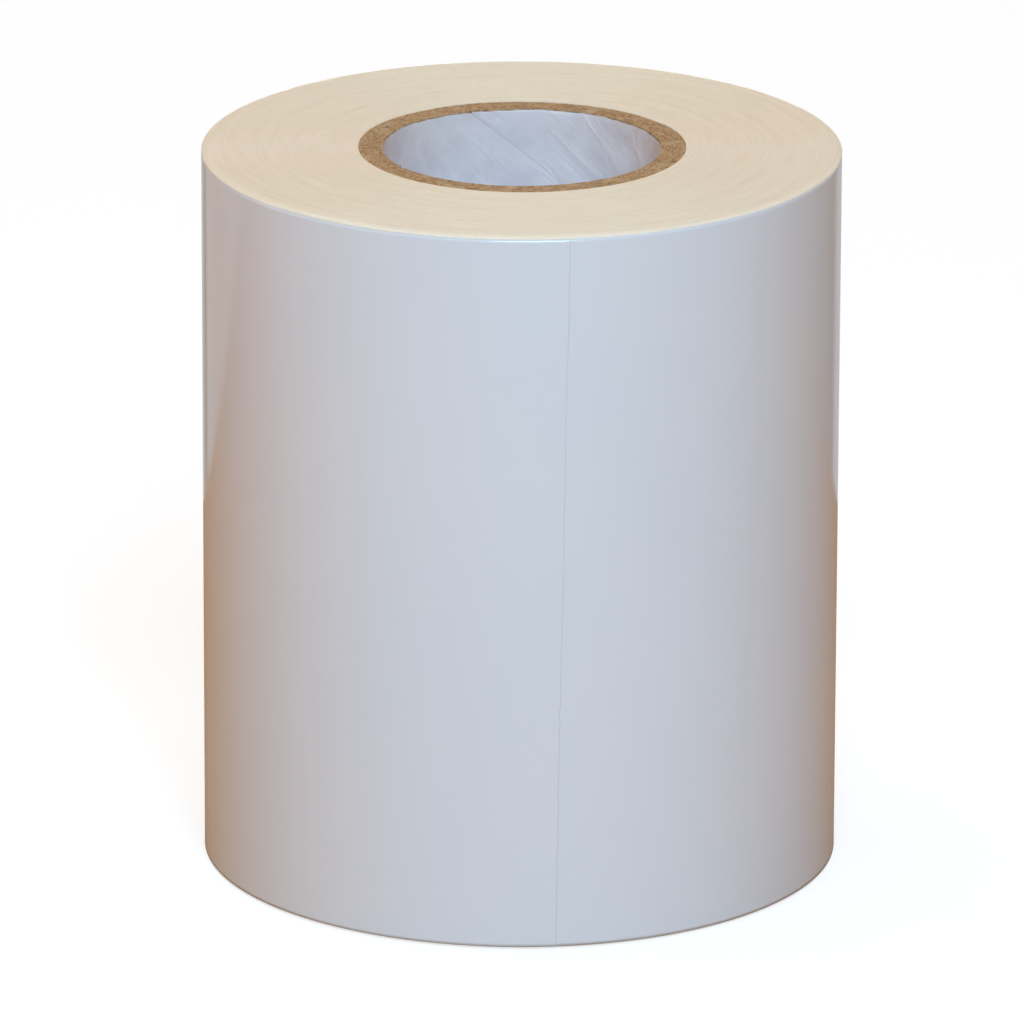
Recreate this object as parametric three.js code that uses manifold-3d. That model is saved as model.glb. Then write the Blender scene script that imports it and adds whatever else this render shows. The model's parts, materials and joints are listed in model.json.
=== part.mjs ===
// A roll of sign vinyl: a self-adhesive film on its paper liner, wound on a spiral-wound board core.
// Millimetres, +Z up. The roll stands on end, its axis on Z and its lower end face at Z = 0.
// The free end of the web points counter-clockwise, seen from above, and is jointed to peel away.

import * as THREE from 'three';
import { mergeVertices } from 'three/addons/utils/BufferGeometryUtils.js';
import Module from 'manifold-3d';

const wasm = await Module();
wasm.setup();

// ---- Driving sizes -------------------------------------------------------------------------

// The web: a vinyl film with its adhesive, and the release liner that carries it.
const WIDTH = 203.2; // slit width of the web, which is the height of the standing roll
const ROLL_R = 88.4; // radius over the film at the free end of the web
const FILM_T = 0.1; // vinyl and adhesive together
const LINER_T = 0.13; // coated release paper
const LAYER_GAP = 0.02; // air between layers that lie on each other

// The core: a white lining paper, then board plies, all wound in right-handed helices.
const BORE_R = 38.1; // for a 3 inch spindle
const LINING_T = 0.3;
const PLY_COUNT = 6;
const PLY_T = 1.02;
const GLUE_GAP = 0.03; // glue line between plies
const PLY_PITCH = 195; // rise of a ply in one turn
const PLY_SEAM = 0.4; // butt gap between neighbouring turns of one ply
const CORE_RECESS = 0.1; // the core ends lie this far inside the end faces of the web
const LINING_SEAM_ANGLE = 113; // where the lining's seam meets the top of the core, degrees
const PLY_SEAM_STAGGER = 100; // turn of each ply's seam from the ply inside it, degrees

// Pads of double-sided tape that hold the start of the web on the core.
const TAPE_COUNT = 3;
const TAPE_SIZE = 25;
const TAPE_T = 0.1;
const START_ANGLE = 30; // where the first turn starts, degrees

// The free end of the web.
const TAIL_ANGLE = 277.5; // the cut edge at half height, degrees
const TAIL_SLANT = 3.2; // how much further round the edge is at the top than at the bottom
const TAIL_STRIPS = 6; // rigid strips that stand for the bending of the free end
const STRIP_ANGLE = 7.5; // arc of each strip but the last, degrees
const END_STRIP_ANGLE = 15; // arc of the last strip, degrees
const FILM_TAB_ANGLE = 11.25; // arc of the film that lifts off the last strip, degrees
const HINGE_GAP = 0.3; // space between neighbouring strips, centred on their hinge line
const LAP_ANGLE = 3.75; // how far the free end laps over the start of the outer turn, degrees

// Facets: concentric layers share their corner angles, so the thin gaps between them are even.
const WEB_STEP = 3.75;
const PLY_STEP = 7.5;

// ---- Sizes that follow ---------------------------------------------------------------------

const WEB_PITCH = LINER_T + FILM_T + 2 * LAYER_GAP;
const CORE_R = BORE_R + LINING_T + PLY_COUNT * (PLY_T + GLUE_GAP);
const WEB_START_R = CORE_R + TAPE_T + 2 * LAYER_GAP;
const HINGE_ANGLE = TAIL_ANGLE - END_STRIP_ANGLE - (TAIL_STRIPS - 1) * STRIP_ANGLE;
const TAB_HINGE_ANGLE = TAIL_ANGLE - FILM_TAB_ANGLE;
const OUTER_TURN_ANGLE = TAIL_ANGLE - LAP_ANGLE - 360; // where the separate outer turn starts
const LINER_OFFSET = LAYER_GAP;
const FILM_OFFSET = LINER_OFFSET + LINER_T + LAYER_GAP;

// ---- Materials -----------------------------------------------------------------------------

const finish = (color, roughness) => new THREE.MeshStandardMaterial({ color, roughness, metalness: 0 });
const VINYL = { color: 0xe9edf3, roughness: 0.18 };
const LINER = { color: 0xf0e6d0, roughness: 0.7 };
const WOUND = { color: 0xf3ead6, roughness: 0.6 };
const BOARD = { color: 0xb08a60, roughness: 0.9 };
const LINING = { color: 0xd5dce8, roughness: 0.75 };
const TAPE = { color: 0xe8e2c8, roughness: 0.4 };

// ---- Geometry helpers ----------------------------------------------------------------------

const radians = THREE.MathUtils.degToRad;

const polar = (radius, angle) =>
  new THREE.Vector2(radius * Math.cos(radians(angle)), radius * Math.sin(radians(angle)));

/** Radius of the face that the web lies on, at an angle counted along the web to its free end. */
const webRadius = (angle) => ROLL_R - WEB_PITCH * (1 + (TAIL_ANGLE - angle) / 360);

/** The angle that a length along the outside of the roll covers, in degrees. */
const outsideAngle = (length) => THREE.MathUtils.radToDeg(length / ROLL_R);

/** The point at an angle on the faceted curve whose corners are at multiples of WEB_STEP. */
function facetPoint(radiusAt, angle) {
  const corner = Math.floor(angle / WEB_STEP) * WEB_STEP;
  const first = polar(radiusAt(corner), corner);
  const chord = polar(radiusAt(corner + WEB_STEP), corner + WEB_STEP).sub(first);
  const ray = polar(1, angle);
  return ray.multiplyScalar(first.cross(chord) / ray.cross(chord));
}

/** The faceted curve from one angle to another. */
function facetCurve(radiusAt, from, to) {
  const points = [facetPoint(radiusAt, from)];
  for (let corner = Math.floor(from / WEB_STEP) + 1; corner * WEB_STEP < to; corner += 1) {
    points.push(facetPoint(radiusAt, corner * WEB_STEP));
  }
  points.push(facetPoint(radiusAt, to));
  return points;
}

/** A shape with straight sides, raised along Z. */
function raised(shape, bottom, height) {
  const geometry = new THREE.ExtrudeGeometry(shape, { depth: height, bevelEnabled: false });
  return geometry.translate(0, 0, bottom);
}

/** A bent sheet of even thickness that stands on its edge. */
function bentSheet(radiusAt, thickness, from, to, bottom = 0, height = WIDTH) {
  const inner = facetCurve(radiusAt, from, to);
  const outer = facetCurve((angle) => radiusAt(angle) + thickness, from, to);
  return raised(new THREE.Shape([...outer, ...inner.reverse()]), bottom, height);
}

function toSolid(geometry) {
  const bare = geometry.clone();
  bare.deleteAttribute('normal');
  bare.deleteAttribute('uv');
  const merged = mergeVertices(bare, 1e-5);
  const vertProperties = new Float32Array(merged.attributes.position.array);
  const triVerts = new Uint32Array(merged.index.array);
  return new wasm.Manifold(new wasm.Mesh({ numProp: 3, vertProperties, triVerts }));
}

function toGeometry(solid) {
  const mesh = solid.getMesh();
  const geometry = new THREE.BufferGeometry();
  geometry.setAttribute('position', new THREE.BufferAttribute(mesh.vertProperties, 3));
  geometry.setIndex(new THREE.BufferAttribute(mesh.triVerts, 1));
  geometry.computeVertexNormals();
  return geometry;
}

// ---- Core ----------------------------------------------------------------------------------

/** A strip wound in a helix at one radius, cut square at both ends of the core. */
function helicalPly(innerRadius, thickness, seamAngle) {
  const coreLength = WIDTH - 2 * CORE_RECESS;
  const coreTop = WIDTH - CORE_RECESS;
  const stripHeight = PLY_PITCH - PLY_SEAM;
  // The seam, which is the strip's upper edge, crosses the top of the core at seamAngle.
  const riseTo = (angle) => coreTop + (PLY_PITCH * (angle - seamAngle)) / 360;
  const turnsBelow = coreLength / PLY_PITCH;
  const from = Math.floor((seamAngle - 360 * turnsBelow) / PLY_STEP - 1) * PLY_STEP;
  const to = Math.ceil((seamAngle + 360) / PLY_STEP + 1) * PLY_STEP;
  const steps = Math.round((to - from) / PLY_STEP);

  const strip = new THREE.BoxGeometry(1, thickness, stripHeight, steps, 1, 1);
  const position = strip.attributes.position;
  for (let i = 0; i < position.count; i += 1) {
    const along = Math.round((position.getX(i) + 0.5) * steps);
    const angle = from + along * PLY_STEP;
    const radius = innerRadius + (position.getY(i) < 0 ? thickness : 0);
    const place = polar(radius, angle);
    position.setXYZ(i, place.x, place.y, riseTo(angle) - stripHeight / 2 + position.getZ(i));
  }
  const reach = 4 * CORE_R;
  const band = new THREE.BoxGeometry(reach, reach, coreLength).translate(0, 0, WIDTH / 2);
  return toGeometry(toSolid(strip).intersect(toSolid(band)));
}

function addCore(group) {
  add(group, 'core_lining_ply', helicalPly(BORE_R, LINING_T, LINING_SEAM_ANGLE), LINING);
  for (let ply = 1; ply <= PLY_COUNT; ply += 1) {
    const innerRadius = BORE_R + LINING_T + GLUE_GAP + (ply - 1) * (PLY_T + GLUE_GAP);
    const seamAngle = LINING_SEAM_ANGLE + ply * PLY_SEAM_STAGGER;
    add(group, `core_ply_${ply}`, helicalPly(innerRadius, PLY_T, seamAngle), BOARD);
  }
}

/** Pads under the start of the web, spread evenly over its width. */
function addCoreTapes(group) {
  const from = START_ANGLE + WEB_STEP / 2;
  const to = from + THREE.MathUtils.radToDeg(TAPE_SIZE / CORE_R);
  const padRadius = () => CORE_R + LAYER_GAP;
  for (let pad = 1; pad <= TAPE_COUNT; pad += 1) {
    const bottom = (WIDTH * (pad - 0.5)) / TAPE_COUNT - TAPE_SIZE / 2;
    const geometry = bentSheet(padRadius, TAPE_T, from, to, bottom, TAPE_SIZE);
    add(group, `core_tape_${pad}`, geometry, TAPE);
  }
}

// ---- Wound web -----------------------------------------------------------------------------

/** All the turns under the outer one, with the spiral's step at its inner and its outer end. */
function woundPack() {
  const startRadius = (angle) => WEB_START_R + (WEB_PITCH * (angle - START_ANGLE)) / 360;
  const outside = facetCurve(webRadius, OUTER_TURN_ANGLE, OUTER_TURN_ANGLE + 360);
  const inside = facetCurve(startRadius, START_ANGLE, START_ANGLE + 360);
  const shape = new THREE.Shape(outside);
  shape.holes.push(new THREE.Path(inside.reverse()));
  return raised(shape, 0, WIDTH);
}

const linerRadius = (angle) => webRadius(angle) + LINER_OFFSET;
const filmRadius = (angle) => webRadius(angle) + FILM_OFFSET;

function addWoundWeb(group) {
  const halfGap = outsideAngle(HINGE_GAP / 2);
  const from = OUTER_TURN_ANGLE + halfGap;
  const to = HINGE_ANGLE - halfGap;
  add(group, 'wound_pack', woundPack(), WOUND);
  add(group, 'outer_turn_liner', bentSheet(linerRadius, LINER_T, from, to), LINER);
  add(group, 'outer_turn_film', bentSheet(filmRadius, FILM_T, from, to), VINYL);
}

// ---- Free end ------------------------------------------------------------------------------

/** Cuts a sheet along the slanted edge of the free end. */
function cutToTailEdge(geometry) {
  const beyond = new THREE.BoxGeometry(WIDTH, WIDTH, 2 * WIDTH).translate(0, WIDTH / 2, 0);
  beyond.rotateX(-Math.atan(TAIL_SLANT / WIDTH));
  beyond.translate(ROLL_R, 0, WIDTH / 2);
  beyond.rotateZ(radians(TAIL_ANGLE));
  return toGeometry(toSolid(geometry).subtract(toSolid(beyond)));
}

function addTail(group) {
  const halfGap = outsideAngle(HINGE_GAP / 2);
  const beyondEdge = TAIL_ANGLE + outsideAngle(TAIL_SLANT);
  for (let strip = 1; strip <= TAIL_STRIPS; strip += 1) {
    const from = HINGE_ANGLE + (strip - 1) * STRIP_ANGLE + halfGap;
    const last = strip === TAIL_STRIPS;
    const to = HINGE_ANGLE + strip * STRIP_ANGLE - halfGap;
    const filmTo = last ? TAB_HINGE_ANGLE - halfGap : to;
    const liner = bentSheet(linerRadius, LINER_T, from, last ? beyondEdge : to);
    add(group, `tail_liner_${strip}`, last ? cutToTailEdge(liner) : liner, LINER);
    add(group, `tail_film_${strip}`, bentSheet(filmRadius, FILM_T, from, filmTo), VINYL);
  }
  const tab = bentSheet(filmRadius, FILM_T, TAB_HINGE_ANGLE + halfGap, beyondEdge);
  add(group, 'film_tab', cutToTailEdge(tab), VINYL);
}

// ---- Assembly ------------------------------------------------------------------------------

function add(group, name, geometry, { color, roughness }) {
  const mesh = new THREE.Mesh(geometry, finish(color, roughness));
  mesh.name = name;
  group.add(mesh);
}

const roll = new THREE.Group();
addCore(roll);
addCoreTapes(roll);
addWoundWeb(roll);
addTail(roll);

export default roll;
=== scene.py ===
"""A roll of sign vinyl standing on end: wound film and liner, board core, and a free end that peels back.

The wound web is two real sheets on one spiral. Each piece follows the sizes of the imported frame, in metres.
"""
import json
import math

import bpy
import numpy as np
from mathutils import Matrix, Vector


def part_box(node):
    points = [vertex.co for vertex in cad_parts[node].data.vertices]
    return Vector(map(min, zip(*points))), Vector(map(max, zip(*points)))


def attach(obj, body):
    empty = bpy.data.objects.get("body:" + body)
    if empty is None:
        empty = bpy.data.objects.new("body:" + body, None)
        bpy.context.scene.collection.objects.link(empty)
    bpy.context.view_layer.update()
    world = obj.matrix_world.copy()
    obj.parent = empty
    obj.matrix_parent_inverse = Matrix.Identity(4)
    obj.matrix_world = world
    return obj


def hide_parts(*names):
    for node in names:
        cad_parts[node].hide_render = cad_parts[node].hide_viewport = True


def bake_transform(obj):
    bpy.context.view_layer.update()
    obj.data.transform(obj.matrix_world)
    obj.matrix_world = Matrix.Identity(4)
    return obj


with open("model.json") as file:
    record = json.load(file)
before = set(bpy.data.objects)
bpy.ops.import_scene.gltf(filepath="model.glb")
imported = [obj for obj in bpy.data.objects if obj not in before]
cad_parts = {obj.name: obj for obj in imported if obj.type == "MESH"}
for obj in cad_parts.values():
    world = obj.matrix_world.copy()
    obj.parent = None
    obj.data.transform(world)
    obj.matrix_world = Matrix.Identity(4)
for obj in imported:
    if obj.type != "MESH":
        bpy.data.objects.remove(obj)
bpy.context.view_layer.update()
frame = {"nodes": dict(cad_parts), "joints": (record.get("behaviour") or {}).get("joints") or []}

# ---- Sizes ---------------------------------------------------------------------------------------

MM = 0.001
JOINTS = {joint["name"]: joint for joint in frame["joints"]}

# The web
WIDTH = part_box("wound_pack")[1].z
FILM_T = 0.10 * MM
LINER_T = 0.13 * MM
LAYER_GAP = 0.02 * MM
PITCH = FILM_T + LINER_T + 2 * LAYER_GAP
TAB_ARC = 11.25  # degrees of film beyond the film's own hinge
TAIL_SLANT = 3.2 * MM  # how much further round the cut edge is at the top than at the bottom
SPIRAL_STEPS = 120  # corners in one turn of the wound sheets
WEB_START_ANGLE = 30.0
TAPE_T = 0.1 * MM

# The core
CORE_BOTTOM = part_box("core_ply_1")[0].z
CORE_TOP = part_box("core_ply_1")[1].z
LINING_T = 0.3 * MM
PLY_T = 1.02 * MM
GLUE_GAP = 0.03 * MM
PLY_COUNT = 6
PLY_PITCH = 195 * MM
PLY_SEAM = 0.4 * MM
LINING_SEAM_ANGLE = 113.0
PLY_SEAM_STAGGER = 100.0
BORE_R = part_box("core_lining_ply")[1].x - LINING_T
CORE_R = BORE_R + LINING_T + PLY_COUNT * (PLY_T + GLUE_GAP)


def hinge_place(joint):
    """(angle in degrees from 0 to 360, radius) of an upright hinge."""
    x, y, _ = JOINTS[joint]["pos_m"]
    return math.degrees(math.atan2(y, x)) % 360, math.hypot(x, y)


TAIL_START, TAIL_START_R = hinge_place("tail_peel")
TAIL_JOINTS = ["tail_peel"] + [f"tail_flex_{strip}" for strip in range(2, 7)]
TAIL_HINGES = [hinge_place(joint)[0] for joint in TAIL_JOINTS]
TAB_HINGE = hinge_place("film_peel")[0]
TAIL_END = TAB_HINGE + TAB_ARC
OUTER_TURN_START = -138.0  # the outer turn begins just short of the free end, so film shows where that lifts
ROLL_R = TAIL_START_R + PITCH * (TAIL_END - TAIL_START) / 360


def web_radius(angle):
    """Radius over the film, at an angle in degrees that is counted along the web to its free end."""
    return ROLL_R - PITCH * (TAIL_END - angle) / 360


RIM_DROP, RIM_WIDTH = 0.75 * MM, 3.2 * MM  # handling has rounded the outermost turns over by this much


def rim_drop(radius):
    """How far the edge of a turn lies inside the width of the web."""
    worn = max(0.0, (radius - ROLL_R + RIM_WIDTH) / RIM_WIDTH)
    return RIM_DROP * worn ** 2


FILM_DROP, LINER_DROP = rim_drop(ROLL_R) + 0.03 * MM, rim_drop(ROLL_R)

# ---- Mesh helpers --------------------------------------------------------------------------------


def new_piece(name, points, faces, materials):
    mesh = bpy.data.meshes.new(name)
    mesh.from_pydata([tuple(p) for p in points], [], faces)
    for material in materials:
        mesh.materials.append(material)
    piece = bpy.data.objects.new(name, mesh)
    bpy.context.scene.collection.objects.link(piece)
    return piece


def shade_smooth(piece, angle=40):
    mesh = piece.data
    mesh.shade_smooth()
    mesh.set_sharp_from_angle(angle=math.radians(angle))


def cylinder_grid(radius, angles, heights):
    """Points at every angle (first index) and height (second index); each may vary with both."""
    radius, angles, heights = np.broadcast_arrays(radius, angles, heights)
    turn = np.radians(angles)
    return np.stack([radius * np.cos(turn), radius * np.sin(turn), heights], axis=-1)


def closed_sheet(name, outer, inner, materials, slots=(0, 0, 0)):
    """A closed sheet between two grids of points. slots: the materials of its outside, inside and edges."""
    columns, rows = outer.shape[:2]
    count = columns * rows
    points = np.concatenate([outer.reshape(-1, 3), inner.reshape(-1, 3)])

    def out(i, j):
        return i * rows + j

    def inn(i, j):
        return count + i * rows + j

    faces, slot_of = [], []

    def add(slot, *corners):
        faces.append(corners)
        slot_of.append(slot)

    last, top = columns - 1, rows - 1
    for i in range(last):
        for j in range(top):
            add(slots[0], out(i, j), out(i + 1, j), out(i + 1, j + 1), out(i, j + 1))
            add(slots[1], inn(i, j), inn(i, j + 1), inn(i + 1, j + 1), inn(i + 1, j))
        add(slots[2], out(i, top), out(i + 1, top), inn(i + 1, top), inn(i, top))
        add(slots[2], out(i, 0), inn(i, 0), inn(i + 1, 0), out(i + 1, 0))
    for j in range(top):
        add(slots[2], out(0, j), out(0, j + 1), inn(0, j + 1), inn(0, j))
        add(slots[2], out(last, j), inn(last, j), inn(last, j + 1), out(last, j + 1))
    piece = new_piece(name, points, faces, materials)
    piece.data.polygons.foreach_set("material_index", slot_of)
    shade_smooth(piece)
    return piece


def ripple(values, waves):
    """A smooth irregular line: the sum of sine waves given as (size, waves per unit, phase)."""
    return sum(size * np.sin(2 * np.pi * rate * values + phase) for size, rate, phase in waves)


# ---- Node trees ----------------------------------------------------------------------------------


class Tree:
    """Short calls for building a node tree."""

    def __init__(self, tree):
        self.nodes, self.links = tree.nodes, tree.links

    def add(self, kind, inputs=None, **settings):
        node = self.nodes.new(kind)
        for key, value in settings.items():
            setattr(node, key, value)
        for key, value in (inputs or {}).items():
            self.feed(node.inputs[key], value)
        return node

    def feed(self, socket, value):
        if isinstance(value, bpy.types.NodeSocket):
            self.links.new(value, socket)
        else:
            socket.default_value = value

    def math(self, operation, *values):
        node = self.add("ShaderNodeMath", operation=operation)
        for socket, value in zip(node.inputs, values):
            self.feed(socket, value)
        return node.outputs[0]

    def spread(self, value, low, high, to_low=0.0, to_high=1.0, smooth=True):
        """value from low..high taken to to_low..to_high, and held at the ends."""
        node = self.add("ShaderNodeMapRange", {"Value": value, "From Min": low, "From Max": high,
                                               "To Min": to_low, "To Max": to_high})
        node.interpolation_type = "SMOOTHSTEP" if smooth else "LINEAR"
        return node.outputs["Result"]


def declare(tree, inputs, outputs):
    """Named sockets on a group: (name, kind, default) for inputs and (name, kind) for outputs."""
    for name, kind, default in inputs:
        socket = tree.interface.new_socket(name, in_out="INPUT", socket_type=kind)
        if default is not None:
            socket.default_value = default
    for name, kind in outputs:
        tree.interface.new_socket(name, in_out="OUTPUT", socket_type=kind)


# ---- Shader groups -------------------------------------------------------------------------------

FLOAT, VECTOR = "NodeSocketFloat", "NodeSocketVector"


def make_fibre_group():
    """Paper and board: long fibres, small flecks and slow cloudiness, as masks and a height."""
    group = bpy.data.node_groups.new("paper fibre", "ShaderNodeTree")
    declare(group, [("Vector", VECTOR, None), ("Fibre Scale", FLOAT, 900.0), ("Stretch", FLOAT, 6.0),
                    ("Cloud Scale", FLOAT, 40.0)],
            [("Fibre", FLOAT), ("Fleck", FLOAT), ("Cloud", FLOAT), ("Height", FLOAT)])
    t = Tree(group)
    given = t.add("NodeGroupInput").outputs
    split = t.add("ShaderNodeSeparateXYZ", {"Vector": given["Vector"]}).outputs
    flat = t.add("ShaderNodeCombineXYZ", {
        "X": split["X"], "Y": split["Y"], "Z": t.math("MULTIPLY", split["Z"], given["Stretch"])}).outputs[0]
    cloud = t.add("ShaderNodeTexNoise", {"Vector": given["Vector"], "Scale": given["Cloud Scale"],
                                         "Detail": 3.0})
    fibre = t.add("ShaderNodeTexNoise", {"Vector": flat, "Scale": given["Fibre Scale"], "Detail": 4.0,
                                         "Roughness": 0.65, "Distortion": 0.6})
    fine = t.math("MULTIPLY", given["Fibre Scale"], 1.7)
    flecks = t.add("ShaderNodeTexVoronoi", {"Vector": given["Vector"], "Scale": fine, "Randomness": 1.0})
    fleck = t.spread(flecks.outputs["Distance"], 0.16, 0.05)
    height = t.math("ADD", fibre.outputs[0], t.math("MULTIPLY", fleck, 0.35))
    done = t.add("NodeGroupOutput")
    t.feed(done.inputs["Fibre"], fibre.outputs[0])
    t.feed(done.inputs["Fleck"], fleck)
    t.feed(done.inputs["Cloud"], cloud.outputs[0])
    t.feed(done.inputs["Height"], height)
    return group


def make_handling_group():
    """Faint marks of handling on a smooth surface: slow smears and sparse grains of dust."""
    group = bpy.data.node_groups.new("handling marks", "ShaderNodeTree")
    declare(group, [("Vector", VECTOR, None), ("Smear Scale", FLOAT, 14.0), ("Dust Scale", FLOAT, 55.0),
                    ("Dust Size", FLOAT, 0.02)],
            [("Smear", FLOAT), ("Dust", FLOAT)])
    t = Tree(group)
    given = t.add("NodeGroupInput").outputs
    smear = t.add("ShaderNodeTexNoise", {"Vector": given["Vector"], "Scale": given["Smear Scale"],
                                         "Detail": 5.0, "Roughness": 0.6, "Distortion": 0.8})
    grains = t.add("ShaderNodeTexVoronoi", {"Vector": given["Vector"], "Scale": given["Dust Scale"]})
    chosen = t.add("ShaderNodeSeparateColor", {"Color": grains.outputs["Color"]}).outputs["Red"]
    near = t.math("LESS_THAN", grains.outputs["Distance"], given["Dust Size"])
    rare = t.math("GREATER_THAN", chosen, 0.93)
    done = t.add("NodeGroupOutput")
    t.feed(done.inputs["Smear"], smear.outputs[0])
    t.feed(done.inputs["Dust"], t.math("MULTIPLY", near, rare))
    return group


def distance_from_axis(t, split):
    """The radius of a place, from its separated X and Y."""
    return t.math("SQRT", t.math("ADD", t.math("MULTIPLY", split["X"], split["X"]),
                                 t.math("MULTIPLY", split["Y"], split["Y"])))


def make_wound_group():
    """Lines that run round the axis, as the edges of wound layers do, and fade in and out on their way."""
    group = bpy.data.node_groups.new("wound lines", "ShaderNodeTree")
    declare(group, [("Vector", VECTOR, None), ("Across", FLOAT, 1000.0), ("Along", FLOAT, 2.0),
                    ("Detail", FLOAT, 2.0)], [("Lines", FLOAT)])
    t = Tree(group)
    given = t.add("NodeGroupInput").outputs
    split = t.add("ShaderNodeSeparateXYZ", {"Vector": given["Vector"]}).outputs
    radius = distance_from_axis(t, split)
    across = t.math("MULTIPLY", radius, given["Across"])
    reach = t.math("DIVIDE", given["Along"], t.math("MAXIMUM", radius, 1 * MM))
    polar = t.add("ShaderNodeCombineXYZ", {
        "X": t.math("MULTIPLY", split["X"], reach), "Y": t.math("MULTIPLY", split["Y"], reach), "Z": across})
    lines = t.add("ShaderNodeTexNoise", {"Vector": polar.outputs[0], "Scale": 1.0, "Detail": given["Detail"],
                                         "Roughness": 0.6})
    t.feed(t.add("NodeGroupOutput").inputs["Lines"], lines.outputs[0])
    return group


WOUND = make_wound_group()
FIBRE = make_fibre_group()
HANDLING = make_handling_group()


def new_material(name):
    """(material, its tree, its shader, the place on the object) with the shader joined to the output."""
    material = bpy.data.materials.new(name)
    material.use_nodes = True
    material.node_tree.nodes.clear()
    t = Tree(material.node_tree)
    shader = t.add("ShaderNodeBsdfPrincipled")
    output = t.add("ShaderNodeOutputMaterial")
    t.feed(output.inputs["Surface"], shader.outputs[0])
    place = t.add("ShaderNodeTexCoord").outputs["Object"]
    return material, t, shader, place


def use_group(t, group, **values):
    node = t.add("ShaderNodeGroup", node_tree=group)
    for name, value in values.items():
        t.feed(node.inputs[name.replace("_", " ")], value)
    return node.outputs


def blend_colour(t, share, low, high):
    node = t.add("ShaderNodeMix", data_type="RGBA")
    t.feed(node.inputs["Factor"], share)
    for socket, value in ((node.inputs[6], low), (node.inputs[7], high)):
        t.feed(socket, value if isinstance(value, bpy.types.NodeSocket) else (*value, 1.0))
    return node.outputs[2]


def bump(t, height, strength, distance):
    return t.add("ShaderNodeBump", {"Height": height, "Strength": strength, "Distance": distance}).outputs[0]


# ---- Materials -----------------------------------------------------------------------------------

EDGE_ROUND, EDGE_FALL = 0.9 * MM, 0.4 * MM  # width and depth of the film's rounded edge
VINYL_COOL, VINYL_WARM, DUST = (0.79, 0.81, 0.84), (0.81, 0.82, 0.84), (0.12, 0.11, 0.10)
FILM_EDGE_LOW, FILM_EDGE_HIGH = (0.87, 0.85, 0.78), (0.92, 0.90, 0.85)
LINER_EDGE_LOW, LINER_EDGE_HIGH = (0.82, 0.75, 0.59), (0.89, 0.83, 0.68)
# Release face of the liner: its own colour, kept darker than that so the strip past the film's end paints the
# shade line at the tail's cut edge.
LINER_FACE_AND_SEAM_SHADE_LOW, LINER_FACE_AND_SEAM_SHADE_HIGH = (0.64, 0.62, 0.57), (0.70, 0.68, 0.63)
LINER_BACK_LOW, LINER_BACK_HIGH = (0.80, 0.77, 0.70), (0.86, 0.84, 0.78)
ADHESIVE_LOW, ADHESIVE_HIGH = (0.60, 0.61, 0.60), (0.70, 0.71, 0.70)
# Edges of the white lining paper, coloured dark grey-brown: painted shade along the rim of the bore.
LINING_EDGE_SHADE_LOW, LINING_EDGE_SHADE_HIGH = (0.30, 0.27, 0.24), (0.50, 0.46, 0.42)
BOARD_DARK, BOARD_LIGHT, BOARD_PALE = (0.25, 0.15, 0.07), (0.53, 0.37, 0.21), (0.64, 0.50, 0.33)
BOARD_FLECK = (0.12, 0.06, 0.025)
LINING_LOW, LINING_HIGH = (0.76, 0.75, 0.78), (0.88, 0.87, 0.90)
LINING_HELIX = math.radians(48)  # turn of the creases in the lining
TAPE_LOW, TAPE_HIGH = (0.70, 0.64, 0.46), (0.84, 0.80, 0.66)


def make_vinyl():
    """The glossy white face of the film."""
    material, t, shader, place = new_material("white gloss vinyl")
    marks = use_group(t, HANDLING, Vector=place)
    grain = t.add("ShaderNodeTexNoise", {"Vector": place, "Scale": 2600.0, "Detail": 2.0}).outputs[0]
    tint = blend_colour(t, t.spread(marks["Smear"], 0.3, 0.7), VINYL_COOL, VINYL_WARM)
    colour = blend_colour(t, t.math("MULTIPLY", marks["Dust"], 0.55), tint, DUST)
    t.feed(shader.inputs["Base Color"], colour)
    t.feed(shader.inputs["Roughness"], t.spread(marks["Smear"], 0.25, 0.75, 0.11, 0.17))
    shader.inputs["IOR"].default_value = 1.5
    # Hard and soft bands round the roll, from uneven thickness of the web, and a fine cast grain.
    height = t.add("ShaderNodeSeparateXYZ", {"Vector": place}).outputs["Z"]
    bands = t.add("ShaderNodeTexNoise", {"W": height, "Scale": 45.0, "Detail": 2.0}, noise_dimensions="1D")
    soft = t.add("ShaderNodeTexNoise", {"Vector": place, "Scale": 22.0, "Detail": 1.0}).outputs[0]
    waves = t.math("ADD", t.math("MULTIPLY", bands.outputs[0], 0.6), t.math("MULTIPLY", soft, 0.4))
    banded = t.add("ShaderNodeBump", {"Height": waves, "Strength": 0.10, "Distance": 0.25 * MM})
    grained = t.add("ShaderNodeBump", {"Height": grain, "Strength": 0.05, "Distance": 0.01 * MM,
                                       "Normal": banded.outputs[0]})
    # The slitter leaves both edges of the face rounded.
    reach = t.math("ABSOLUTE", t.math("SUBTRACT", height, WIDTH / 2))
    edge = t.spread(reach, WIDTH / 2 - FILM_DROP - EDGE_ROUND, WIDTH / 2 - FILM_DROP, smooth=False)
    fall = t.math("MULTIPLY", t.math("MULTIPLY", edge, edge), -1.0)
    rounded = t.add("ShaderNodeBump", {"Height": fall, "Strength": 1.0, "Distance": EDGE_FALL,
                                       "Normal": grained.outputs[0]})
    t.feed(shader.inputs["Normal"], rounded.outputs[0])
    return material


def make_slit_edge(name, low, high, roughness):
    """The slit edge of a wound layer: smooth, with faint lines where turns differ."""
    material, t, shader, place = new_material(name)
    turns = use_group(t, WOUND, Vector=place, Across=1500.0, Along=3.0, Detail=2.0)["Lines"]
    grain = t.add("ShaderNodeTexNoise", {"Vector": place, "Scale": 700.0, "Detail": 2.0}).outputs[0]
    share = t.math("ADD", t.math("MULTIPLY", turns, 0.7), t.math("MULTIPLY", grain, 0.3))
    t.feed(shader.inputs["Base Color"], blend_colour(t, t.spread(share, 0.3, 0.7), low, high))
    t.feed(shader.inputs["Roughness"], t.spread(grain, 0.3, 0.7, roughness, roughness + 0.12))
    t.feed(shader.inputs["Normal"], bump(t, grain, 0.2, 0.02 * MM))
    return material


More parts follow.
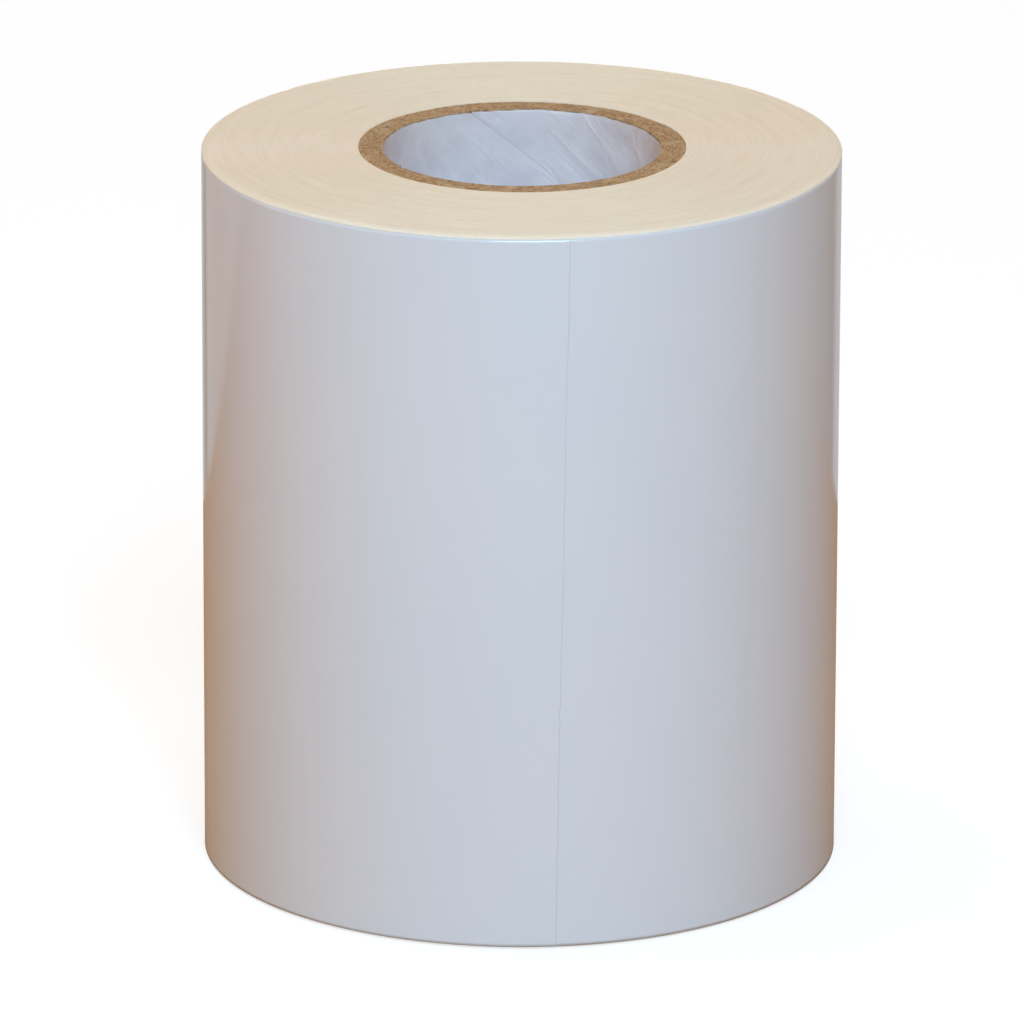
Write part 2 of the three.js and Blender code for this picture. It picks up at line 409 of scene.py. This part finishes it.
def make_adhesive():
    """The sticky back of the film: greyish, wet looking, with slight streaks."""
    material, t, shader, place = new_material("film adhesive")
    streak = t.add("ShaderNodeTexNoise", {"Vector": place, "Scale": 260.0, "Detail": 3.0,
                                          "Distortion": 0.4}).outputs[0]
    t.feed(shader.inputs["Base Color"], blend_colour(t, streak, ADHESIVE_LOW, ADHESIVE_HIGH))
    t.feed(shader.inputs["Roughness"], t.spread(streak, 0.3, 0.7, 0.18, 0.34))
    t.feed(shader.inputs["Normal"], bump(t, streak, 0.25, 0.04 * MM))
    return material


def paper_material(name, low, high, roughness, fibre_scale, strength):
    """Liner paper: a base colour with fibres and clouds."""
    material, t, shader, place = new_material(name)
    paper = use_group(t, FIBRE, Vector=place, Fibre_Scale=fibre_scale, Stretch=0.35, Cloud_Scale=60.0)
    share = t.math("ADD", t.math("MULTIPLY", paper["Fibre"], 0.6), t.math("MULTIPLY", paper["Cloud"], 0.4))
    t.feed(shader.inputs["Base Color"], blend_colour(t, t.spread(share, 0.35, 0.65), low, high))
    t.feed(shader.inputs["Roughness"], t.spread(paper["Fibre"], 0.3, 0.7, roughness, roughness + 0.12))
    t.feed(shader.inputs["Normal"], bump(t, paper["Height"], strength, 0.03 * MM))
    return material


def make_board():
    """Kraft board: the edges of its layers where it is cut, fibres, flecks and clouds."""
    material, t, shader, place = new_material("kraft board")
    paper = use_group(t, FIBRE, Vector=place, Fibre_Scale=950.0, Stretch=0.5, Cloud_Scale=230.0)
    layers = use_group(t, WOUND, Vector=place, Across=2300.0, Along=26.0, Detail=3.0)["Lines"]
    grain = t.math("ADD", t.math("MULTIPLY", paper["Fibre"], 0.45), t.math("MULTIPLY", layers, 0.55))
    body = blend_colour(t, t.spread(grain, 0.38, 0.60), BOARD_DARK, BOARD_LIGHT)
    clouded = blend_colour(t, t.spread(paper["Cloud"], 0.45, 0.75, 0.0, 0.45), body, BOARD_PALE)
    spots = t.math("MULTIPLY", paper["Fleck"], 0.45)
    t.feed(shader.inputs["Base Color"], blend_colour(t, spots, clouded, BOARD_FLECK))
    shader.inputs["Roughness"].default_value = 0.9
    height = t.math("ADD", paper["Height"], layers)
    t.feed(shader.inputs["Normal"], bump(t, height, 0.8, 0.25 * MM))
    return material


def make_lining():
    """White paper in the bore, cockled by the glue under it, with long creases along its helix."""
    material, t, shader, place = new_material("white core lining")
    paper = use_group(t, FIBRE, Vector=place, Fibre_Scale=420.0, Stretch=1.0, Cloud_Scale=95.0)
    turned = t.add("ShaderNodeMapping", {"Vector": place, "Rotation": (0.0, LINING_HELIX, 0.0)}).outputs[0]
    drawn = t.add("ShaderNodeMapping", {"Vector": turned, "Scale": (1.0, 1.0, 0.14)}).outputs[0]
    crease = t.add("ShaderNodeTexNoise", {"Vector": drawn, "Scale": 190.0, "Detail": 5.0, "Distortion": 0.5})
    folds = t.spread(crease.outputs[0], 0.42, 0.62)
    cloud = t.math("ADD", t.math("MULTIPLY", t.spread(paper["Cloud"], 0.35, 0.68), 0.65),
                   t.math("MULTIPLY", folds, 0.35))
    t.feed(shader.inputs["Base Color"], blend_colour(t, cloud, LINING_LOW, LINING_HIGH))
    t.feed(shader.inputs["Roughness"], t.spread(paper["Fibre"], 0.3, 0.7, 0.6, 0.75))
    height = t.math("ADD", t.math("MULTIPLY", paper["Height"], 0.3), t.math("MULTIPLY", folds, 0.7))
    t.feed(shader.inputs["Normal"], bump(t, height, 0.6, 0.25 * MM))
    return material


def make_tape():
    """Double-sided tape: a yellowish tissue in its adhesive."""
    material, t, shader, place = new_material("double-sided tape")
    tissue = t.add("ShaderNodeTexNoise", {"Vector": place, "Scale": 700.0, "Detail": 4.0}).outputs[0]
    t.feed(shader.inputs["Base Color"], blend_colour(t, tissue, TAPE_LOW, TAPE_HIGH))
    t.feed(shader.inputs["Roughness"], t.spread(tissue, 0.3, 0.7, 0.3, 0.5))
    t.feed(shader.inputs["Normal"], bump(t, tissue, 0.4, 0.03 * MM))
    return material


VINYL = make_vinyl()
FILM_EDGE = make_slit_edge("slit film edge", FILM_EDGE_LOW, FILM_EDGE_HIGH, 0.40)
ADHESIVE = make_adhesive()
LINER_FACE_AND_SEAM_SHADE = paper_material("release face of liner, darkened as seam shade", LINER_FACE_AND_SEAM_SHADE_LOW, LINER_FACE_AND_SEAM_SHADE_HIGH, 0.28, 500.0, 0.15)
LINER_BACK = paper_material("back of liner", LINER_BACK_LOW, LINER_BACK_HIGH, 0.62, 420.0, 0.35)
LINER_EDGE = make_slit_edge("slit liner edge", LINER_EDGE_LOW, LINER_EDGE_HIGH, 0.62)
BOARD = make_board()
LINING = make_lining()
LINING_EDGE_SHADE = paper_material("lining edge, painted shade", LINING_EDGE_SHADE_LOW, LINING_EDGE_SHADE_HIGH, 0.8, 900.0, 0.5)
TAPE = make_tape()

# ---- Wound web -----------------------------------------------------------------------------------

SLOW_DRIFT, QUICK_DRIFT = 0.035 * MM, 0.03 * MM  # how far the edges of the turns wander
SQUEEZE = 0.8 * LAYER_GAP  # how much of the air between wound turns their tension takes up
FILM_RECESS = 0.03 * MM  # how far the film's edge lies inside the liner's


def make_spiral_tree():
    """One sheet wound on a spiral, upright, with the uneven ends that slitting and winding leave."""
    tree = bpy.data.node_groups.new("wound sheet", "GeometryNodeTree")
    declare(tree, [("Start Radius", FLOAT, 0.045), ("End Radius", FLOAT, 0.088), ("Turns", FLOAT, 10.0),
                   ("Steps", "NodeSocketInt", 120), ("Start Angle", FLOAT, 0.0), ("Thickness", FLOAT, 0.0001),
                   ("Height", FLOAT, 0.2), ("Recess", FLOAT, 0.0), ("Rim Drop", FLOAT, 0.0),
                   ("Rim Width", FLOAT, 0.001), ("Rim Radius", FLOAT, 0.088),
                   ("Seed", FLOAT, 0.0), ("Material", "NodeSocketMaterial", None)],
            [("Geometry", "NodeSocketGeometry")])
    t = Tree(tree)
    given = t.add("NodeGroupInput").outputs
    spiral = t.add("GeometryNodeCurveSpiral", {
        "Resolution": given["Steps"], "Rotations": given["Turns"], "Start Radius": given["Start Radius"],
        "End Radius": given["End Radius"], "Height": 0.0, "Reverse": True}).outputs[0]
    turn = t.add("ShaderNodeCombineXYZ", {"Z": given["Start Angle"]}).outputs[0]
    placed = t.add("GeometryNodeTransform", {"Geometry": spiral, "Rotation": turn}).outputs[0]
    upright = t.add("GeometryNodeSetCurveNormal", {"Curve": placed}, mode="Z_UP").outputs[0]
    section = t.add("GeometryNodeCurvePrimitiveQuadrilateral", {
        "Width": given["Thickness"], "Height": given["Height"]}).outputs[0]
    sheet = t.add("GeometryNodeCurveToMesh", {"Curve": upright, "Profile Curve": section,
                                              "Fill Caps": True}).outputs[0]
    # Each turn's edge lies a little below the full width, by an amount that drifts from turn to turn.
    split = t.add("ShaderNodeSeparateXYZ", {"Vector": t.add("GeometryNodeInputPosition").outputs[0]}).outputs
    radius = distance_from_axis(t, split)
    at = t.math("ADD", radius, given["Seed"])
    slow = t.add("ShaderNodeTexNoise", {"W": at, "Scale": 260.0, "Detail": 1.0}, noise_dimensions="1D")
    quick = t.add("ShaderNodeTexNoise", {"W": at, "Scale": 2900.0, "Detail": 0.0}, noise_dimensions="1D")
    drift = t.math("ADD", t.math("MULTIPLY", slow.outputs[0], SLOW_DRIFT),
                   t.math("MULTIPLY", quick.outputs[0], QUICK_DRIFT))
    rim_start = t.math("SUBTRACT", given["Rim Radius"], given["Rim Width"])
    rim = t.math("DIVIDE", t.math("SUBTRACT", radius, rim_start), given["Rim Width"])
    worn = t.math("MULTIPLY", t.math("POWER", t.math("MAXIMUM", rim, 0.0), 2.0), given["Rim Drop"])
    inward = t.math("ADD", t.math("ADD", drift, worn), given["Recess"])
    towards = t.math("MULTIPLY", t.math("SIGN", split["Z"]), -1.0)
    shift = t.add("ShaderNodeCombineXYZ", {"Z": t.math("MULTIPLY", inward, towards)}).outputs[0]
    moved = t.add("GeometryNodeSetPosition", {"Geometry": sheet, "Offset": shift}).outputs[0]
    middle = t.add("ShaderNodeCombineXYZ", {"Z": t.math("MULTIPLY", given["Height"], 0.5)}).outputs[0]
    lifted = t.add("GeometryNodeTransform", {"Geometry": moved, "Translation": middle}).outputs[0]
    whole = t.add("GeometryNodeRealizeInstances", {"Geometry": lifted}).outputs[0]
    dressed = t.add("GeometryNodeSetMaterial", {"Geometry": whole, "Material": given["Material"]}).outputs[0]
    t.feed(t.add("NodeGroupOutput").inputs["Geometry"], dressed)
    return tree


SPIRAL_TREE = make_spiral_tree()


def piece_from_nodes(name, tree, values):
    """A plain mesh piece from a geometry node tree."""
    piece = new_piece(name, [], [], [])
    modifier = piece.modifiers.new("shape", "NODES")
    modifier.node_group = tree
    identifiers = {item.name: item.identifier for item in tree.interface.items_tree if item.in_out == "INPUT"}
    for key, value in values.items():
        modifier[identifiers[key]] = value
    made = bpy.data.meshes.new_from_object(piece.evaluated_get(bpy.context.evaluated_depsgraph_get()))
    piece.modifiers.clear()
    piece.data = made
    made.name = name
    return piece


def web_start():
    """Angle along the web at which its first turn starts on the core, clear of the tape pads."""
    first_r = CORE_R + 2 * LAYER_GAP + TAPE_T
    turns = math.floor((web_radius(OUTER_TURN_START) - PITCH - first_r) / PITCH)
    return WEB_START_ANGLE - 360 * turns


def wound_sheet(name, thickness, depth, material, recess, seed):
    """The inner turns of one layer. depth is from the face of the film to the middle of the layer."""
    start = web_start()
    spun = (OUTER_TURN_START - start) / 360
    piece = piece_from_nodes(name, SPIRAL_TREE, {
        "Start Radius": web_radius(start) - depth, "End Radius": web_radius(OUTER_TURN_START) - depth,
        "Turns": spun, "Steps": SPIRAL_STEPS, "Start Angle": math.radians(WEB_START_ANGLE),
        "Thickness": thickness + SQUEEZE, "Height": WIDTH, "Recess": recess, "Rim Drop": RIM_DROP,
        "Rim Width": RIM_WIDTH, "Rim Radius": ROLL_R, "Seed": seed, "Material": material})
    shade_smooth(piece)
    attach(piece, "roll")
    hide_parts("wound_pack")
    return piece


wound_sheet("wound_film", FILM_T, FILM_T / 2, FILM_EDGE, FILM_RECESS, 0.0)
wound_sheet("wound_liner", LINER_T, FILM_T + LAYER_GAP + LINER_T / 2, LINER_EDGE, 0.0, 3.0)

# ---- Outer turn and free end ---------------------------------------------------------------------

EDGE_ROWS = 25  # points across the width of the outer sheets
OUTER_STEP = 0.75  # degrees
TAIL_NICKS = [(68 * MM, 0.9 * MM, 0.45 * MM), (26 * MM, 0.7 * MM, 0.35 * MM)]  # height, length, depth
TAIL_ROWS, TAIL_COLUMNS = 161, 33
TAB_SHORT = 0.2 * MM  # how far the film's end stops short of the liner's, baring a strip of the darkened release face as painted shade along the cut edge


def sheet_angles(start, end, step=OUTER_STEP):
    steps = max(1, round((end - start) / step))
    return np.linspace(start, end, steps + 1)[:, None]


def sheet_heights(drop):
    """Heights across the web, from a little above its lower edge to a little under its upper one."""
    return np.linspace(drop, WIDTH - drop, EDGE_ROWS)[None, :]


def web_piece(name, depth, thickness, angles, materials, drop):
    """A stretch of film or liner. depth is from the face of the film to the outside of the layer."""
    heights = sheet_heights(drop)
    outside = web_radius(angles) - depth
    outer = cylinder_grid(outside, angles, heights)
    inner = cylinder_grid(outside - thickness, angles, heights)
    return closed_sheet(name, outer, inner, materials, slots=(0, 1, 2))


FILM_SKIN = [VINYL, ADHESIVE, FILM_EDGE]
LINER_SKIN = [LINER_FACE_AND_SEAM_SHADE, LINER_BACK, LINER_EDGE]
LINER_DEPTH = FILM_T + LAYER_GAP


def make_outer_turn():
    angles = sheet_angles(OUTER_TURN_START, TAIL_START)
    film = web_piece("outer_film", 0.0, FILM_T, angles, FILM_SKIN, FILM_DROP)
    liner = web_piece("outer_liner", LINER_DEPTH, LINER_T, angles, LINER_SKIN, LINER_DROP)
    for piece, node, slot in ((film, "outer_turn_film", "vinyl"), (liner, "outer_turn_liner", "liner")):
        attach(piece, "roll")
        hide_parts(node)


def tail_edge_angle(heights, short):
    """The cut edge of the web: slanted, with the slight wander and two nicks of a hand cut."""
    slant = TAIL_SLANT * (heights / WIDTH - 0.5)
    wander = ripple(heights / WIDTH, [(0.09 * MM, 2.3, 0.4), (0.05 * MM, 5.7, 2.1), (0.025 * MM, 13.0, 4.0)])
    nicks = sum(-depth * np.exp(-(((heights - height) / length) ** 2))
                for height, length, depth in TAIL_NICKS)
    return TAIL_END + np.degrees((slant + wander + nicks - short) / ROLL_R)


def end_piece(name, depth, thickness, start, materials, drop, short=0.0):
    """The last stretch of film or liner, up to the cut edge or short of it by a little."""
    heights = np.linspace(drop, WIDTH - drop, TAIL_ROWS)[None, :]
    share = np.linspace(0, 1, TAIL_COLUMNS)[:, None]
    angles = start + share * (tail_edge_angle(heights, short) - start)
    outside = web_radius(angles) - depth
    outer = cylinder_grid(outside, angles, heights)
    inner = cylinder_grid(outside - thickness, angles, heights)
    return closed_sheet(name, outer, inner, materials, slots=(0, 1, 2))


def bend_over(piece):
    """Bakes the piece's placement into its mesh; it is neither parented nor bent over a hinge here."""
    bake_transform(piece)


def make_tail():
    """Film and liner of the free end, one stretch for each hinge, and the film's tab past the last."""
    ends = TAIL_HINGES[1:] + [TAIL_END]
    for number, (joint, start, end) in enumerate(zip(TAIL_JOINTS, TAIL_HINGES, ends), 1):
        if number < len(TAIL_JOINTS):
            angles = sheet_angles(start, end)
            film = web_piece(f"free_film_{number}", 0.0, FILM_T, angles, FILM_SKIN, FILM_DROP)
            liner = web_piece(f"free_liner_{number}", LINER_DEPTH, LINER_T, angles, LINER_SKIN, LINER_DROP)
        else:
            angles = sheet_angles(start, TAB_HINGE)
            film = web_piece(f"free_film_{number}", 0.0, FILM_T, angles, FILM_SKIN, FILM_DROP)
            liner = end_piece(f"free_liner_{number}", LINER_DEPTH, LINER_T, start, LINER_SKIN, LINER_DROP)
        for piece, node, slot in ((film, f"tail_film_{number}", "vinyl"),
                                  (liner, f"tail_liner_{number}", "liner")):
            bend_over(piece)
            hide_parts(node)
    tab = end_piece("film_tab_sheet", 0.0, FILM_T, TAB_HINGE, FILM_SKIN, FILM_DROP, short=TAB_SHORT)
    bend_over(tab)
    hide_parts("film_tab")


make_outer_turn()
make_tail()

# ---- Core ----------------------------------------------------------------------------------------

PLY_STEP = 1.5  # degrees
LINING_SEAM = 0.06 * MM
LOOSE_ANGLE, LOOSE_ARC = -126.0, 24.0  # where the lining's torn edge is loose, and how far round, in degrees
BURR_REACH = 0.5 * MM  # height of the burr at each cut end


def ply_span(seam_angle, seam=PLY_SEAM):
    """Angles of one ply's strip, from where its upper edge meets the core's bottom to where its lower one
    meets the top, with the lowest and highest point of the strip at each."""
    length = CORE_TOP - CORE_BOTTOM
    first = seam_angle - 360 * length / PLY_PITCH + PLY_STEP
    last = seam_angle + 360 * (PLY_PITCH - seam) / PLY_PITCH - PLY_STEP
    angles = np.linspace(first, last, round((last - first) / PLY_STEP) + 1)
    upper = CORE_TOP + PLY_PITCH * (angles - seam_angle) / 360
    lower = upper - (PLY_PITCH - seam)
    return angles, np.maximum(lower, CORE_BOTTOM), np.minimum(upper, CORE_TOP)


def cut_roughness(angles, across, seed):
    """How far the sawn end of the board lies inside the core's length: fuzzy, and never proud."""
    rng = np.random.default_rng(seed)
    fuzz = rng.random((len(angles), len(across)))
    swell = 0.5 + 0.5 * np.sin(np.radians(angles * 7.0 + seed * 40.0))[:, None]
    dish = np.abs(np.asarray(across) - 0.5)[None, :]
    return (0.10 * fuzz + 0.05 * swell + 0.12 * dish) * MM


def cut_burr(angles):
    """How far the saw has spread the outermost ply at its cut ends: nearly to the first turn of the web."""
    turned = (angles - WEB_START_ANGLE) % 360
    first_turn = web_radius(web_start()) - LINER_DEPTH - LINER_T - SQUEEZE / 2 + PITCH * turned / 360
    clear_of_step = np.minimum(1.0, (360 - turned) / 8) * np.minimum(1.0, turned / 3)
    return (first_turn - CORE_R - 0.03 * MM) * clear_of_step


def board_ply(number):
    """One ply: a strip of board in a helix, with its cut ends at the ends of the core."""
    inner_r = BORE_R + LINING_T + GLUE_GAP + (number - 1) * (PLY_T + GLUE_GAP)
    angles, low, high = ply_span(LINING_SEAM_ANGLE + number * PLY_SEAM_STAGGER)
    across = np.linspace(0.0, 1.0, 5)
    tall = np.minimum(1.0, (high - low) / (2 * MM))[:, None]
    top = high[:, None] - cut_roughness(angles, across, number) * tall
    base = low[:, None] + cut_roughness(angles, across, number + 20)[:, ::-1] * tall
    spread = cut_burr(angles)[:, None] if number == PLY_COUNT else np.zeros((len(angles), 1))
    outside = np.full((len(angles), 1), inner_r + PLY_T)
    inside = np.repeat(inner_r + across[None, :-1] * PLY_T, len(angles), axis=0)
    # Round the section: along the top outwards, down the outside past the burrs, and back along the base.
    burr = outside + spread
    radii = np.concatenate([inside, burr, outside, outside, burr, inside[:, ::-1]], axis=1)
    under_top, over_base = top[:, -1:] - BURR_REACH * tall, base[:, :1] + BURR_REACH * tall
    heights = np.concatenate([top, under_top, over_base, base], axis=1)
    points = cylinder_grid(radii, angles[:, None], heights)
    return tube_of_sections(f"board_ply_{number}", points, [BOARD])


def tube_of_sections(name, points, materials):
    """A closed piece through a row of closed sections; points is [section, corner, xyz]."""
    count, corners = points.shape[:2]
    faces = []
    for i in range(count - 1):
        for j in range(corners):
            k = (j + 1) % corners
            faces.append((i * corners + j, i * corners + k, (i + 1) * corners + k, (i + 1) * corners + j))
    faces.append(tuple(range(corners - 1, -1, -1)))
    faces.append(tuple((count - 1) * corners + j for j in range(corners)))
    piece = new_piece(name, points.reshape(-1, 3), faces, materials)
    shade_smooth(piece)
    return piece


def lining_sheet():
    """The white paper in the bore, cockled along its helix and torn off a little under the cut board."""
    angles, low, high = ply_span(LINING_SEAM_ANGLE, LINING_SEAM)
    share = np.concatenate([np.linspace(0.0, 0.97, 45), np.linspace(0.975, 1.0, 9)])[None, :]
    angle_grid = np.repeat(angles[:, None], share.size, axis=1)
    heights = low[:, None] + share * (high - low)[:, None]
    # Distance across and along the strip in millimetres, for cockles that run with it.
    round_mm = np.radians(angle_grid) * BORE_R / MM
    helix = math.atan2(PLY_PITCH, 2 * math.pi * BORE_R)
    rise = heights / MM - np.tan(helix) * round_mm
    across = rise * math.cos(helix)
    along = round_mm / math.cos(helix) + rise * math.sin(helix)
    cockle = ripple(across, [(0.035, 0.031, 0.5), (0.022, 0.083, 1.9)])
    cockle = cockle + 0.03 * np.sin(2 * np.pi * (along * 0.021 + 0.4 * np.sin(across * 0.09)))
    cockle = cockle + 0.018 * np.sin(2 * np.pi * (along * 0.067 + across * 0.045))
    lift = (0.075 + cockle * 0.6) * MM * np.minimum(1.0, np.minimum(share, 1 - share) * 30)
    # The torn edge: under the board nearly all round, and loose for a stretch where it stands off the bore.
    rng = np.random.default_rng(7)
    at_top = high > CORE_TOP - 0.1 * MM
    loose = np.exp(-(((angles - LOOSE_ANGLE) / LOOSE_ARC) ** 2))
    torn = 0.45 + ripple(angles, [(0.16, 0.011, 0.3), (0.10, 0.037, 2.0), (0.06, 0.11, 1.0)])
    torn = torn + 0.12 * rng.random(len(angles)) - 0.55 * loose
    torn = np.where(at_top, torn, 0.0)[:, None] * np.clip((share - 0.5) * 2, 0, 1) ** 2 * MM
    stand = np.where(at_top, loose * (0.22 + 0.12 * rng.random(len(angles))), 0.0)[:, None]
    stand = stand * np.clip((share - 0.975) * 40, 0, 1) ** 2 * MM
    inner = cylinder_grid(BORE_R + 0.02 * MM - lift - stand, angle_grid, heights - torn)
    outer = cylinder_grid(BORE_R + LINING_T - 0.01 * MM - stand, angle_grid, heights - torn)
    # The lining's edges take the dark edge colour, which is painted shade along the bore's rim.
    return closed_sheet("core_lining", outer, inner, [LINING, LINING_EDGE_SHADE], slots=(0, 0, 1))


def make_core():
    lining = lining_sheet()
    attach(lining, "roll")
    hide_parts("core_lining_ply")
    for number in range(1, PLY_COUNT + 1):
        ply = board_ply(number)
        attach(ply, "roll")
        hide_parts(f"core_ply_{number}")
    for name, node in frame["nodes"].items():
        if name.startswith("core_tape_"):
            node.data.materials.clear()
            node.data.materials.append(TAPE)


make_core()

# ---- Studio --------------------------------------------------------------------------------------

PALE_WALL = (0.62, 0.65, 0.70)
DIM_ROOM = (0.30, 0.30, 0.28)
WARM_CEILING = (0.32, 0.13, 0.04)
TABLE_COLOUR = (0.46, 0.31, 0.18)
TABLE_EDGE = 0.31  # how far behind the middle of the roll the table ends
FLOOR_COLOUR, FLOOR_GLOW = (0.38, 0.42, 0.46), 0.70
TARGET = (0.0, 0.0, WIDTH / 2)
STRIP_HEIGHT = 0.10  # low enough to light the wall of the roll and leave its end face dark
LENS, CAMERA_DISTANCE, CAMERA_RISE, CAMERA_TILT = 404.5, 3.200, 0.3120, 0.3133
CAMERA_SIDEWAYS, CAMERA_LEAN = -0.00241, 0.0032


def flat_card(name, low, high, height, material):
    corners = [(low[0], low[1], height), (high[0], low[1], height),
               (high[0], high[1], height), (low[0], high[1], height)]
    card = new_piece(name, corners, [(0, 1, 2, 3)], [material])
    return card


def make_floor():
    """A pale floor for the eye, and a brown table just under it for bounce and reflections."""
    pale, _, shader, _ = new_material("pale floor")
    shader.inputs["Base Color"].default_value = (*FLOOR_COLOUR, 1.0)
    shader.inputs["Roughness"].default_value = 0.9
    shader.inputs["Specular IOR Level"].default_value = 0.0
    shader.inputs["Emission Color"].default_value = (1.0, 1.0, 1.0, 1.0)
    shader.inputs["Emission Strength"].default_value = FLOOR_GLOW
    floor = flat_card("floor", (-6, -6), (6, 6), 0.0, pale)
    floor.visible_diffuse = floor.visible_glossy = floor.visible_shadow = False
    wood, _, shader, _ = new_material("brown table")
    shader.inputs["Base Color"].default_value = (*TABLE_COLOUR, 1.0)
    shader.inputs["Roughness"].default_value = 0.8
    table = flat_card("table", (-1.5, -1.6), (1.5, TABLE_EDGE), -1 * MM, wood)
    table.visible_camera = False


def area_light(name, place, target, size, power, colour):
    light = bpy.data.lights.new(name, "AREA")
    light.shape = "RECTANGLE"
    light.size, light.size_y = size
    light.energy = power
    light.color = colour
    lamp = bpy.data.objects.new(name, light)
    lamp.location = place
    lamp.visible_camera = False
    lamp.rotation_euler = (Vector(target) - Vector(place)).to_track_quat("-Z", "Y").to_euler()
    bpy.context.scene.collection.objects.link(lamp)
    return lamp


def make_world():
    """A warm ceiling over a pale room, and white behind the floor."""
    world = bpy.data.worlds.new("studio")
    world.use_nodes = True
    world.node_tree.nodes.clear()
    t = Tree(world.node_tree)
    direction = t.add("ShaderNodeTexCoord").outputs["Generated"]
    split = t.add("ShaderNodeSeparateXYZ", {"Vector": direction}).outputs
    left = t.spread(split["X"], -0.37, -0.34, 1.0, 0.0)
    right_end = t.spread(split["X"], 0.36, 0.40, 1.0, 0.0)
    middle = t.math("MULTIPLY", t.spread(split["X"], -0.25, -0.22), right_end)
    walls = blend_colour(t, t.math("MAXIMUM", left, middle), DIM_ROOM, PALE_WALL)
    room_colour = blend_colour(t, t.spread(split["Z"], -0.05, 0.15), walls, WARM_CEILING)
    room = t.add("ShaderNodeBackground", {"Color": room_colour, "Strength": 1.0})
    backdrop = t.add("ShaderNodeBackground", {"Color": (1.0, 1.0, 1.0, 1.0), "Strength": 1.0})
    seen = t.add("ShaderNodeLightPath").outputs["Is Camera Ray"]
    mixed = t.add("ShaderNodeMixShader", {0: seen, 1: room.outputs[0], 2: backdrop.outputs[0]})
    t.feed(t.add("ShaderNodeOutputWorld").inputs["Surface"], mixed.outputs[0])
    bpy.context.scene.world = world


def make_camera():
    """A long lens in front of the roll and above it, looking down at it."""
    data = bpy.data.cameras.new("camera")
    data.sensor_width = 36.0
    data.lens = LENS
    data.clip_start, data.clip_end = 0.1, 50.0
    camera = bpy.data.objects.new("camera", data)
    height = WIDTH / 2 + CAMERA_DISTANCE * math.sin(CAMERA_RISE)
    place = (CAMERA_SIDEWAYS, -CAMERA_DISTANCE * math.cos(CAMERA_RISE), height)
    look = Matrix.Rotation(math.pi / 2 - CAMERA_TILT, 4, "X") @ Matrix.Rotation(CAMERA_LEAN, 4, "Z")
    camera.matrix_world = Matrix.Translation(place) @ look
    bpy.context.scene.collection.objects.link(camera)
    bpy.context.scene.camera = camera


def make_lamps():
    """Soft boxes over and in front of the roll, and low strips behind it that light its wall alone."""
    area_light("top softbox", (-0.2, 0.1, 1.7), TARGET, (1.2, 1.2), 8.6, (1.0, 0.87, 0.59))
    area_light("front softbox", (0.35, -3.6, 3.5), TARGET, (2.0, 2.0), 221.0, (0.42, 0.69, 0.91))
    area_light("low front fill", (0.1, -1.5, 0.15), (0.0, 0.0, 0.05), (0.9, 0.3), 2.6, (0.5, 0.75, 1.0))
    for name, x, y, power in (("back strip", 0.0, 2.2, 24.0), ("back left strip", -1.1, 1.9, 3.0),
                              ("back right strip", 1.1, 1.9, 2.0)):
        place, target = (x, y, STRIP_HEIGHT), (0.0, 0.0, STRIP_HEIGHT)
        strip = area_light(name, place, target, (0.5, 0.17), power, (0.80, 0.92, 1.0))
        strip.visible_glossy = name == "back strip"
    area_light("side softbox", (-1.9, 0.2, 0.35), TARGET, (0.8, 0.7), 2.2, (1.0, 0.60, 0.32))


make_camera()
make_floor()
make_world()
make_lamps()

bpy.context.scene.view_settings.view_transform = "Standard"
